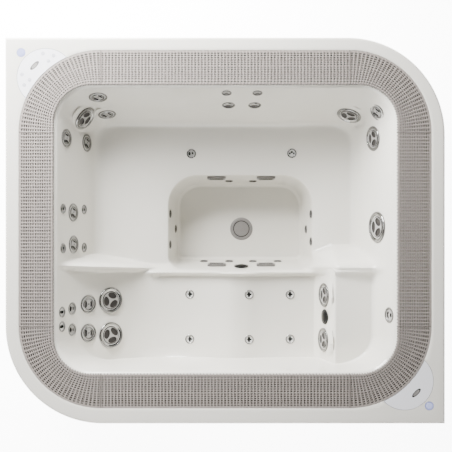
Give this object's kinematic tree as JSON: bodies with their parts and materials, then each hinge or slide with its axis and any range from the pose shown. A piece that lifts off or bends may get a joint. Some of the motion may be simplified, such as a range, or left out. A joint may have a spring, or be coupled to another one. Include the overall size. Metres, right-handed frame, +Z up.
{
  "type": "acrylic hot tub",
  "caption": "Rectangular acrylic overflow hot tub with a perimeter grille, benches, lounger, step seat and footwell, with jets, corner controls, filter and service cabinet.",
  "frame": {"origin": "on the floor under the middle of the rim", "axes": "+X along the long side, the lounger on the -Y side, +Z up"},
  "size_m": [2.55, 2.24, 0.9],
  "materials": {
    "white_acrylic": "gloss white acrylic",
    "grille_plastic": "light warm grey, satin",
    "corner_plate": "light grey, satin",
    "touch_button": "grey, satin",
    "blue_lens": "pale blue, gloss",
    "jet_steel": "bright trim over a grey body",
    "grey_cover": "mid grey, satin",
    "dark_lens": "near black, gloss",
    "pipe_plastic": "white pipe, satin",
    "filter_fabric": "pleated white cloth",
    "tray_plastic": "black, matt",
    "frame_metal": "bare metal, satin",
    "cabinet_panel": "warm grey board, matt",
    "machine_plastic": "dark grey, satin",
    "heater_steel": "brushed"
  },
  "bodies": {
    "tub": {"shell": "white_acrylic", "control_pod": "corner_plate", "filter_canister": "pipe_plastic", "suction_cover_1": "grey_cover", "suction_cover_2": "grey_cover", "suction_cover_3": "grey_cover", "suction_cover_4": "grey_cover", "light_lens_1": "dark_lens", "light_lens_2": "dark_lens", "floor_drain": "grey_cover", "upper_manifold": "pipe_plastic", "lower_manifold": "pipe_plastic", "base_tray": "tray_plastic", "frame": "frame_metal", "panel_north": "cabinet_panel", "panel_corner_sw": "cabinet_panel", "panel_south": "cabinet_panel", "panel_east": "cabinet_panel", "panel_corner_ne": "cabinet_panel", "pump_1": "machine_plastic", "pump_2": "machine_plastic", "heater": "heater_steel", "air_blower": "machine_plastic", "control_box": "machine_plastic", "buffer_tank": "pipe_plastic"},
    "grille_north": {"grille_north": "grille_plastic"},
    "grille_west": {"grille_west": "grille_plastic"},
    "grille_south": {"grille_south": "grille_plastic"},
    "grille_east": {"grille_east": "grille_plastic"},
    "grille_corner_ne": {"grille_corner_ne": "grille_plastic"},
    "grille_corner_nw": {"grille_corner_nw": "grille_plastic"},
    "grille_corner_sw": {"grille_corner_sw": "grille_plastic"},
    "grille_corner_se": {"grille_corner_se": "grille_plastic"},
    "pod_button_1": {"pod_button_1": "touch_button"},
    "pod_button_2": {"pod_button_2": "touch_button"},
    "pod_button_3": {"pod_button_3": "touch_button"},
    "pod_button_4": {"pod_button_4": "touch_button"},
    "pod_button_5": {"pod_button_5": "touch_button"},
    "pod_button_6": {"pod_button_6": "touch_button"},
    "round_button_nw": {"round_button_nw": "blue_lens"},
    "round_button_se": {"round_button_se": "blue_lens"},
    "filter": {"filter_lid": "corner_plate", "filter_cartridge": "filter_fabric"},
    "rotor_jet_1": {"rotor_jet_1": "jet_steel"},
    "rotor_jet_2": {"rotor_jet_2": "jet_steel"},
    "rotor_jet_3": {"rotor_jet_3": "jet_steel"},
    "rotor_jet_4": {"rotor_jet_4": "jet_steel"},
    "rotor_jet_5": {"rotor_jet_5": "jet_steel"},
    "rotor_jet_6": {"rotor_jet_6": "jet_steel"},
    "rotor_jet_7": {"rotor_jet_7": "jet_steel"},
    "rotor_jet_8": {"rotor_jet_8": "jet_steel"},
    "jet_face_1": {"jet_face_1": "jet_steel"},
    "jet_face_2": {"jet_face_2": "jet_steel"},
    "jet_face_3": {"jet_face_3": "jet_steel"},
    "jet_face_4": {"jet_face_4": "jet_steel"},
    "jet_face_5": {"jet_face_5": "jet_steel"},
    "jet_face_6": {"jet_face_6": "jet_steel"},
    "jet_face_7": {"jet_face_7": "jet_steel"},
    "jet_face_8": {"jet_face_8": "jet_steel"},
    "service_panel": {"service_panel_west": "cabinet_panel"}
  },
  "joints": [
    {"name": "grille_north_lift", "type": "slide", "parent": "tub", "child": "grille_north", "axis": [0, 0, 1], "range_m": [0, 0.06]},
    {"name": "grille_west_lift", "type": "slide", "parent": "tub", "child": "grille_west", "axis": [0, 0, 1], "range_m": [0, 0.06]},
    {"name": "grille_south_lift", "type": "slide", "parent": "tub", "child": "grille_south", "axis": [0, 0, 1], "range_m": [0, 0.06]},
    {"name": "grille_east_lift", "type": "slide", "parent": "tub", "child": "grille_east", "axis": [0, 0, 1], "range_m": [0, 0.06]},
    {"name": "grille_corner_ne_lift", "type": "slide", "parent": "tub", "child": "grille_corner_ne", "axis": [0, 0, 1], "range_m": [0, 0.06]},
    {"name": "grille_corner_nw_lift", "type": "slide", "parent": "tub", "child": "grille_corner_nw", "axis": [0, 0, 1], "range_m": [0, 0.06]},
    {"name": "grille_corner_sw_lift", "type": "slide", "parent": "tub", "child": "grille_corner_sw", "axis": [0, 0, 1], "range_m": [0, 0.06]},
    {"name": "grille_corner_se_lift", "type": "slide", "parent": "tub", "child": "grille_corner_se", "axis": [0, 0, 1], "range_m": [0, 0.06]},
    {"name": "pod_button_1_press", "type": "slide", "parent": "tub", "child": "pod_button_1", "axis": [0, 0, -1], "range_m": [0, 0.0015], "stiffness_N_per_m": 800},
    {"name": "pod_button_2_press", "type": "slide", "parent": "tub", "child": "pod_button_2", "axis": [0, 0, -1], "range_m": [0, 0.0015], "stiffness_N_per_m": 800},
    {"name": "pod_button_3_press", "type": "slide", "parent": "tub", "child": "pod_button_3", "axis": [0, 0, -1], "range_m": [0, 0.0015], "stiffness_N_per_m": 800},
    {"name": "pod_button_4_press", "type": "slide", "parent": "tub", "child": "pod_button_4", "axis": [0, 0, -1], "range_m": [0, 0.0015], "stiffness_N_per_m": 800},
    {"name": "pod_button_5_press", "type": "slide", "parent": "tub", "child": "pod_button_5", "axis": [0, 0, -1], "range_m": [0, 0.0015], "stiffness_N_per_m": 800},
    {"name": "pod_button_6_press", "type": "slide", "parent": "tub", "child": "pod_button_6", "axis": [0, 0, -1], "range_m": [0, 0.0015], "stiffness_N_per_m": 800},
    {"name": "round_button_nw_press", "type": "slide", "parent": "tub", "child": "round_button_nw", "axis": [0, 0, -1], "range_m": [0, 0.0025], "stiffness_N_per_m": 900},
    {"name": "round_button_se_press", "type": "slide", "parent": "tub", "child": "round_button_se", "axis": [0, 0, -1], "range_m": [0, 0.0025], "stiffness_N_per_m": 900},
    {"name": "filter_lift", "type": "slide", "parent": "tub", "child": "filter", "axis": [0, 0, 1], "range_m": [0, 0.35]},
    {"name": "rotor_jet_1_turn", "type": "hinge", "parent": "tub", "child": "rotor_jet_1", "pos_m": [-0.84969, 0.67747, 0.65052], "axis": [0.7362, -0.5456, 0.4005], "range_deg": [-60, 60]},
    {"name": "rotor_jet_2_turn", "type": "hinge", "parent": "tub", "child": "rotor_jet_2", "pos_m": [-0.70841, -0.43077, 0.53693], "axis": [0.56, -0.0337, 0.8278], "range_deg": [-60, 60]},
    {"name": "rotor_jet_3_turn", "type": "hinge", "parent": "tub", "child": "rotor_jet_3", "pos_m": [-0.70555, -0.64632, 0.54099], "axis": [0.56, 0.0323, 0.8278], "range_deg": [-60, 60]},
    {"name": "rotor_jet_4_turn", "type": "hinge", "parent": "tub", "child": "rotor_jet_4", "pos_m": [0.75708, 0.70314, 0.58844], "axis": [-0.2855, -0.8765, 0.3876], "range_deg": [-60, 60]},
    {"name": "rotor_jet_5_turn", "type": "hinge", "parent": "tub", "child": "rotor_jet_5", "pos_m": [0.89333, 0.55431, 0.66691], "axis": [-0.9301, -0.0641, 0.3616], "range_deg": [-60, 60]},
    {"name": "rotor_jet_6_turn", "type": "hinge", "parent": "tub", "child": "rotor_jet_6", "pos_m": [0.91243, 0.02048, 0.70098], "axis": [-0.934, 0, 0.3573], "range_deg": [-60, 60]},
    {"name": "rotor_jet_7_turn", "type": "hinge", "parent": "tub", "child": "rotor_jet_7", "pos_m": [0.60771, -0.39725, 0.56303], "axis": [-0.9528, -0.0071, 0.3035], "range_deg": [-60, 60]},
    {"name": "rotor_jet_8_turn", "type": "hinge", "parent": "tub", "child": "rotor_jet_8", "pos_m": [0.6032, -0.67166, 0.56417], "axis": [-0.953, 0.0065, 0.3028], "range_deg": [-60, 60]},
    {"name": "jet_face_1_turn", "type": "hinge", "parent": "tub", "child": "jet_face_1", "pos_m": [-0.75303, 0.78928, 0.77653], "axis": [0.05, -0.9335, 0.3551], "range_deg": [-60, 60]},
    {"name": "jet_face_2_turn", "type": "hinge", "parent": "tub", "child": "jet_face_2", "pos_m": [-0.72577, 0.71167, 0.56763], "axis": [0.1142, -0.934, 0.3384], "range_deg": [-60, 60]},
    {"name": "jet_face_3_turn", "type": "hinge", "parent": "tub", "child": "jet_face_3", "pos_m": [-0.94059, 0.5463, 0.7759], "axis": [0.9317, 0, 0.3633], "range_deg": [-60, 60]},
    {"name": "jet_face_4_turn", "type": "hinge", "parent": "tub", "child": "jet_face_4", "pos_m": [-0.85291, 0.53798, 0.55054], "axis": [0.9351, 0, 0.3544], "range_deg": [-60, 60]},
    {"name": "jet_face_5_turn", "type": "hinge", "parent": "tub", "child": "jet_face_5", "pos_m": [-0.91244, 0.10784, 0.70098], "axis": [0.9341, 0, 0.357], "range_deg": [-60, 60]},
    {"name": "jet_face_6_turn", "type": "hinge", "parent": "tub", "child": "jet_face_6", "pos_m": [-0.91028, -0.08435, 0.7018], "axis": [0.9341, 0, 0.357], "range_deg": [-60, 60]},
    {"name": "jet_face_7_turn", "type": "hinge", "parent": "tub", "child": "jet_face_7", "pos_m": [-0.83213, -0.44726, 0.63151], "axis": [0.6906, -0.025, 0.7228], "range_deg": [-60, 60]},
    {"name": "jet_face_8_turn", "type": "hinge", "parent": "tub", "child": "jet_face_8", "pos_m": [-0.83164, -0.62251, 0.63164], "axis": [0.6906, 0.0218, 0.7229], "range_deg": [-60, 60]},
    {"name": "service_panel_pull", "type": "slide", "parent": "tub", "child": "service_panel", "axis": [-1, 0, 0], "range_m": [0, 0.06]}
  ]
}
